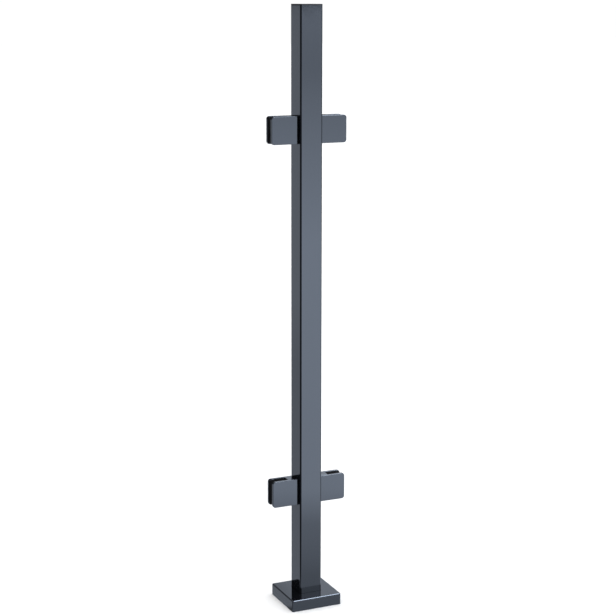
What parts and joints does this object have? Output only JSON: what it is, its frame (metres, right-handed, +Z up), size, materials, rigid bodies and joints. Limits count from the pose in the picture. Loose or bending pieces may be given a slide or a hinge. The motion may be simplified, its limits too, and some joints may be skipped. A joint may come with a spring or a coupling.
{
  "type": "glass fence post",
  "caption": "Square black mid post for glass pool-fence panels, with a base cover, a flush cap and two-jaw glass clamps on both sides.",
  "frame": {"origin": "on the floor at the centre of the post, under the base plate", "axes": "+Z up the post; X along the line of the glass; -Y the side of the plain front jaws"},
  "size_m": [0.135, 0.092, 1.026],
  "materials": {
    "coat": "satin black powder coat on the tube and the base plate",
    "cover_coat": "glossier black coat on the pressed cover",
    "clamp_coat": "satin black coat on castings",
    "weld": "coated fillet weld",
    "cap_plastic": "fine moulded black plastic",
    "rubber": "matt black rubber pad",
    "black_screw": "black oxide socket screws",
    "plated_nut": "zinc plated rivet nut"
  },
  "bodies": {
    "post": {"post_tube": "coat", "top_cap": "cap_plastic", "base_plate": "coat", "base_weld": "weld", "upper_left_mount_bolt": "black_screw", "upper_left_rivet_nut": "plated_nut", "upper_right_mount_bolt": "black_screw", "upper_right_rivet_nut": "plated_nut", "lower_left_mount_bolt": "black_screw", "lower_left_rivet_nut": "plated_nut", "lower_right_mount_bolt": "black_screw", "lower_right_rivet_nut": "plated_nut"},
    "cover": {"base_cover": "cover_coat"},
    "upper_left_clamp": {"upper_left_clamp_body": "clamp_coat", "upper_left_back_gasket": "rubber"},
    "upper_left_jaw": {"upper_left_clamp_jaw": "clamp_coat", "upper_left_front_gasket": "rubber"},
    "upper_left_top_screw_turning": {"upper_left_top_screw": "black_screw"},
    "upper_left_bottom_screw_turning": {"upper_left_bottom_screw": "black_screw"},
    "upper_right_clamp": {"upper_right_clamp_body": "clamp_coat", "upper_right_back_gasket": "rubber"},
    "upper_right_jaw": {"upper_right_clamp_jaw": "clamp_coat", "upper_right_front_gasket": "rubber"},
    "upper_right_top_screw_turning": {"upper_right_top_screw": "black_screw"},
    "upper_right_bottom_screw_turning": {"upper_right_bottom_screw": "black_screw"},
    "lower_left_clamp": {"lower_left_clamp_body": "clamp_coat", "lower_left_back_gasket": "rubber"},
    "lower_left_jaw": {"lower_left_clamp_jaw": "clamp_coat", "lower_left_front_gasket": "rubber"},
    "lower_left_top_screw_turning": {"lower_left_top_screw": "black_screw"},
    "lower_left_bottom_screw_turning": {"lower_left_bottom_screw": "black_screw"},
    "lower_right_clamp": {"lower_right_clamp_body": "clamp_coat", "lower_right_back_gasket": "rubber"},
    "lower_right_jaw": {"lower_right_clamp_jaw": "clamp_coat", "lower_right_front_gasket": "rubber"},
    "lower_right_top_screw_turning": {"lower_right_top_screw": "black_screw"},
    "lower_right_bottom_screw_turning": {"lower_right_bottom_screw": "black_screw"}
  },
  "joints": [
    {"name": "cover_slide", "type": "slide", "parent": "post", "child": "cover", "axis": [0, 0, 1], "range_m": [0, 0.15]},
    {"name": "upper_left_swivel", "type": "hinge", "parent": "post", "child": "upper_left_clamp", "pos_m": [-0.029, 0, 0.823], "axis": [1, 0, 0], "continuous": true},
    {"name": "upper_left_jaw_slide", "type": "slide", "parent": "upper_left_clamp", "child": "upper_left_jaw", "axis": [0, -1, 0], "range_m": [0, 0.0025]},
    {"name": "upper_left_top_screw_turn", "type": "hinge", "parent": "upper_left_clamp", "child": "upper_left_top_screw_turning", "pos_m": [-0.029, 0, 0.837], "axis": [0, 1, 0], "range_deg": [0, 1126]},
    {"name": "upper_left_bottom_screw_turn", "type": "hinge", "parent": "upper_left_clamp", "child": "upper_left_bottom_screw_turning", "pos_m": [-0.029, 0, 0.809], "axis": [0, 1, 0], "range_deg": [0, 1126]},
    {"name": "upper_right_swivel", "type": "hinge", "parent": "post", "child": "upper_right_clamp", "pos_m": [0.029, 0, 0.823], "axis": [1, 0, 0], "continuous": true},
    {"name": "upper_right_jaw_slide", "type": "slide", "parent": "upper_right_clamp", "child": "upper_right_jaw", "axis": [0, -1, 0], "range_m": [0, 0.0025]},
    {"name": "upper_right_top_screw_turn", "type": "hinge", "parent": "upper_right_clamp", "child": "upper_right_top_screw_turning", "pos_m": [0.029, 0, 0.837], "axis": [0, 1, 0], "range_deg": [0, 1126]},
    {"name": "upper_right_bottom_screw_turn", "type": "hinge", "parent": "upper_right_clamp", "child": "upper_right_bottom_screw_turning", "pos_m": [0.029, 0, 0.809], "axis": [0, 1, 0], "range_deg": [0, 1126]},
    {"name": "lower_left_swivel", "type": "hinge", "parent": "post", "child": "lower_left_clamp", "pos_m": [-0.029, 0, 0.203], "axis": [1, 0, 0], "continuous": true},
    {"name": "lower_left_jaw_slide", "type": "slide", "parent": "lower_left_clamp", "child": "lower_left_jaw", "axis": [0, -1, 0], "range_m": [0, 0.0025]},
    {"name": "lower_left_top_screw_turn", "type": "hinge", "parent": "lower_left_clamp", "child": "lower_left_top_screw_turning", "pos_m": [-0.029, 0, 0.217], "axis": [0, 1, 0], "range_deg": [0, 1126]},
    {"name": "lower_left_bottom_screw_turn", "type": "hinge", "parent": "lower_left_clamp", "child": "lower_left_bottom_screw_turning", "pos_m": [-0.029, 0, 0.189], "axis": [0, 1, 0], "range_deg": [0, 1126]},
    {"name": "lower_right_swivel", "type": "hinge", "parent": "post", "child": "lower_right_clamp", "pos_m": [0.029, 0, 0.203], "axis": [1, 0, 0], "continuous": true},
    {"name": "lower_right_jaw_slide", "type": "slide", "parent": "lower_right_clamp", "child": "lower_right_jaw", "axis": [0, -1, 0], "range_m": [0, 0.0025]},
    {"name": "lower_right_top_screw_turn", "type": "hinge", "parent": "lower_right_clamp", "child": "lower_right_top_screw_turning", "pos_m": [0.029, 0, 0.217], "axis": [0, 1, 0], "range_deg": [0, 1126]},
    {"name": "lower_right_bottom_screw_turn", "type": "hinge", "parent": "lower_right_clamp", "child": "lower_right_bottom_screw_turning", "pos_m": [0.029, 0, 0.189], "axis": [0, 1, 0], "range_deg": [0, 1126]}
  ],
  "couplings": [
    {"joint": "upper_left_top_screw_turn", "follows": "upper_left_jaw_slide", "rad_per_m": 7854},
    {"joint": "upper_left_bottom_screw_turn", "follows": "upper_left_jaw_slide", "rad_per_m": 7854},
    {"joint": "upper_right_top_screw_turn", "follows": "upper_right_jaw_slide", "rad_per_m": 7854},
    {"joint": "upper_right_bottom_screw_turn", "follows": "upper_right_jaw_slide", "rad_per_m": 7854},
    {"joint": "lower_left_top_screw_turn", "follows": "lower_left_jaw_slide", "rad_per_m": 7854},
    {"joint": "lower_left_bottom_screw_turn", "follows": "lower_left_jaw_slide", "rad_per_m": 7854},
    {"joint": "lower_right_top_screw_turn", "follows": "lower_right_jaw_slide", "rad_per_m": 7854},
    {"joint": "lower_right_bottom_screw_turn", "follows": "lower_right_jaw_slide", "rad_per_m": 7854}
  ]
}
